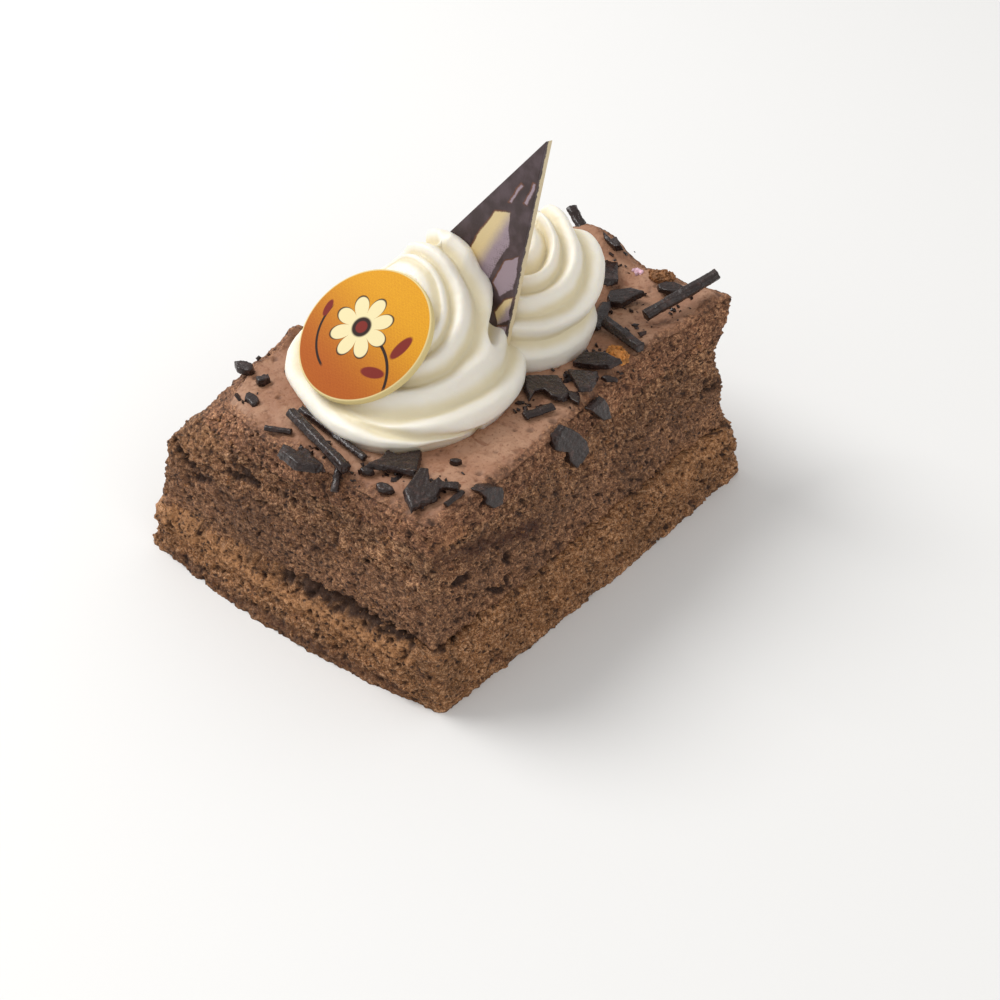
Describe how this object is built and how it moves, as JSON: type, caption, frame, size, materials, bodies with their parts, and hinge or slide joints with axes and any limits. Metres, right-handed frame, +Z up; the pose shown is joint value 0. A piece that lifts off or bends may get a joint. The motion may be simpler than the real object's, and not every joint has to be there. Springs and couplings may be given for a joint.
{
  "type": "chocolate mousse cake slice",
  "caption": "Slice of layered chocolate mousse cake topped with swirls of whipped cream, a round chocolate disc, a marbled chocolate shard and dark chocolate flakes.",
  "frame": {"origin": "centre of the foot of the slice, on the surface that it stands on", "axes": "+X out of the long cut face, -Y out of the short cut face under the disc, +Z up"},
  "size_m": [0.0803, 0.1022, 0.0847],
  "materials": {
    "sponge": "porous, matte",
    "mousse": "dense, matte",
    "top_mousse": "smooth with fine pits, matte",
    "cream": "smooth, soft",
    "dark_chocolate": "glossy, broken edges",
    "marbled_chocolate": "satin, dark front marbled with cream, pale back",
    "printed_disc": "satin, colour print on pale chocolate"
  },
  "bodies": {
    "root": {"sponge_base": "sponge", "mousse_middle": "mousse", "sponge_upper": "sponge", "mousse_top": "top_mousse", "cream_front": "cream", "cream_back": "cream", "disc": "printed_disc", "shard": "marbled_chocolate", "curl_front": "dark_chocolate", "stick_under_cream": "dark_chocolate", "flake_front_edge": "dark_chocolate", "flake_by_cream_front": "dark_chocolate", "flake_star": "dark_chocolate", "flake_in_side": "dark_chocolate", "flake_by_cream_right": "dark_chocolate", "flake_broad": "dark_chocolate", "flake_narrow": "dark_chocolate", "flake_oval": "dark_chocolate", "stick_right": "dark_chocolate", "flake_beside_cream": "dark_chocolate", "flake_boat": "dark_chocolate", "flake_square": "dark_chocolate", "stick_corner": "dark_chocolate", "flake_back_edge": "dark_chocolate", "flake_back_cream": "dark_chocolate"}
  },
  "joints": []
}
